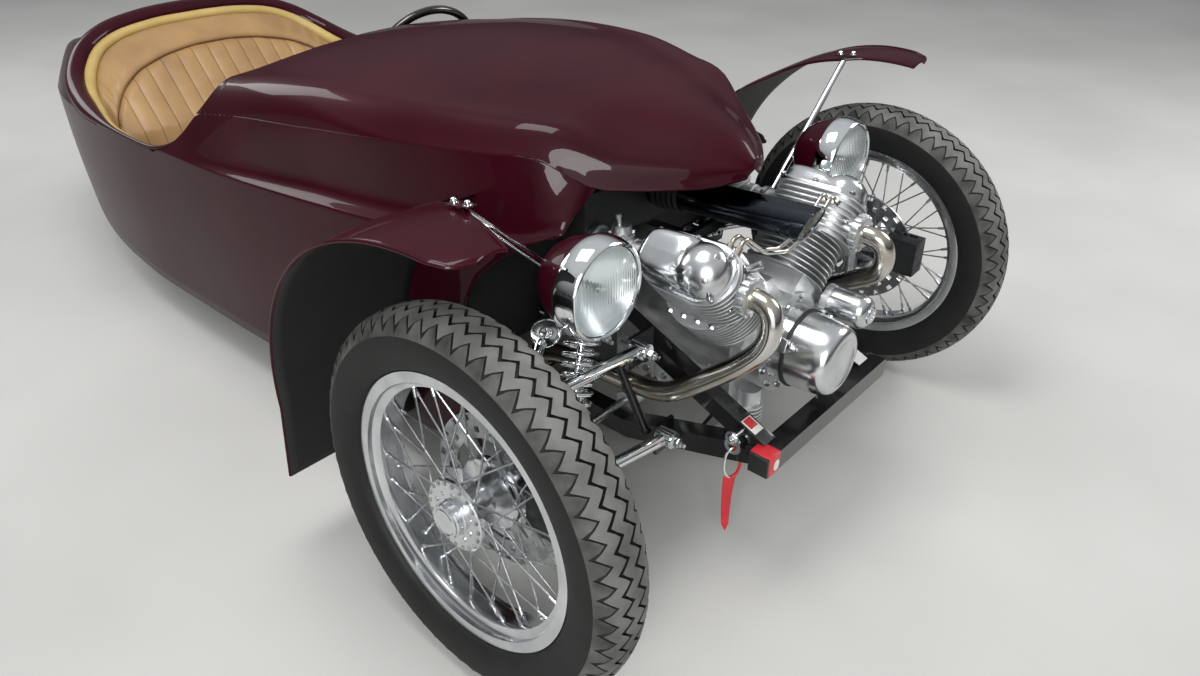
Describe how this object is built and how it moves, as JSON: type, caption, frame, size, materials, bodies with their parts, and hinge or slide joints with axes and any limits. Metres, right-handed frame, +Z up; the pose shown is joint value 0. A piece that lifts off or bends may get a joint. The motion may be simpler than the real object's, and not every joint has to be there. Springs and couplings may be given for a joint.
{
  "type": "cyclecar",
  "caption": "Open two-seat cyclecar with two steered front wheels, one rear wheel, an exposed V-twin engine ahead of a boat-tailed body and cycle mudguards.",
  "frame": {"origin": "on the ground, on the vehicle's middle plane, midway between the front of the front tyres and the tip of the tail", "axes": "+Z up, the vehicle faces -Y, its left side is +X"},
  "size_m": [1.4324, 3.0026, 0.8399],
  "materials": {
    "body_paint": "deep gloss maroon paint under clear lacquer",
    "frame_paint": "gloss black paint on steel box section",
    "tyre_rubber": "black road tyre rubber, dusty tread",
    "polished_alloy": "polished aluminium rims and hubs",
    "cast_alloy": "bare cast aluminium",
    "polished_cover": "polished cast aluminium covers",
    "bright_steel": "bright steel",
    "stainless": "polished stainless steel tube with a light straw tint",
    "chrome_plate": "bright chrome plate",
    "dark_tube": "dark polished tube",
    "leather_tan": "tan hide, satin",
    "lamp_glass": "clear fluted glass",
    "black_plastic": "matt black moulding",
    "wheel_rim_black": "gloss black steering rim",
    "floor_board": "dark painted sheet"
  },
  "bodies": {
    "chassis": {"wishbones": "chrome_plate", "spring_dampers": "chrome_plate", "rack_housing": "cast_alloy", "frame": "frame_paint", "cross_tubes": "frame_paint", "suspension_brackets": "frame_paint", "rear_fork": "frame_paint", "coaming_roll": "body_paint", "bonnet": "body_paint", "side_panel_right": "body_paint", "side_panel_left": "body_paint", "tail_shell": "body_paint", "floor_pan": "floor_board", "bulkhead": "floor_board", "dashboard": "body_paint", "seat_cushion": "leather_tan", "seat_back": "leather_tan", "side_linings": "leather_tan", "crankcase": "cast_alloy", "cylinders": "cast_alloy", "valve_covers": "polished_cover", "end_covers": "polished_cover", "carburettors": "cast_alloy", "intake_tube": "dark_tube", "oil_hoses": "stainless", "air_box": "black_plastic", "exhausts": "stainless", "headlamp_bowls": "body_paint", "headlamp_bezels": "chrome_plate", "headlamp_lenses": "lamp_glass", "front_stays": "chrome_plate", "mudguard_right": "body_paint", "mudguard_left": "body_paint", "tow_eye": "chrome_plate"},
    "knuckle_right": {"knuckle_right": "bright_steel"},
    "knuckle_left": {"knuckle_left": "bright_steel"},
    "front_right_wheel": {"tyre_front_right": "tyre_rubber", "wheel_front_right": "polished_alloy"},
    "front_left_wheel": {"tyre_front_left": "tyre_rubber", "wheel_front_left": "polished_alloy"},
    "rear_wheel": {"tyre_rear": "tyre_rubber", "wheel_rear": "polished_alloy"},
    "steering": {"steering_wheel": "wheel_rim_black", "steering_column": "bright_steel"},
    "rack": {"track_rods": "bright_steel"}
  },
  "joints": [
    {"name": "steering_turn", "type": "hinge", "parent": "chassis", "child": "steering", "pos_m": [0.198, -0.03675, 0.645], "axis": [0.0627, 0.9238, 0.3777], "range_deg": [-175, 175]},
    {"name": "knuckle_right_turn", "type": "hinge", "parent": "chassis", "child": "knuckle_right", "pos_m": [-0.572, -1.16875, 0.25], "axis": [0.1163, 0, 0.9932], "range_deg": [-25.1, 25.1]},
    {"name": "knuckle_left_turn", "type": "hinge", "parent": "chassis", "child": "knuckle_left", "pos_m": [0.572, -1.16875, 0.25], "axis": [-0.1163, 0, 0.9932], "range_deg": [-25.1, 25.1]},
    {"name": "rack_slide", "type": "slide", "parent": "chassis", "child": "rack", "axis": [1, 0, 0], "range_m": [-0.0425, 0.0425]},
    {"name": "front_right_spin", "type": "hinge", "parent": "knuckle_right", "child": "front_right_wheel", "pos_m": [-0.65, -1.16875, 0.33227], "axis": [-0.999, 0, 0.0436], "continuous": true},
    {"name": "front_left_spin", "type": "hinge", "parent": "knuckle_left", "child": "front_left_wheel", "pos_m": [0.65, -1.16875, 0.33227], "axis": [0.999, 0, 0.0436], "continuous": true},
    {"name": "rear_spin", "type": "hinge", "parent": "chassis", "child": "rear_wheel", "pos_m": [0, 0.96125, 0.31], "axis": [1, 0, 0], "continuous": true}
  ],
  "couplings": [
    {"joint": "knuckle_right_turn", "follows": "steering_turn", "ratio": 0.14286},
    {"joint": "knuckle_left_turn", "follows": "steering_turn", "ratio": 0.14286},
    {"joint": "rack_slide", "follows": "steering_turn", "m_per_rad": -0.01384}
  ]
}
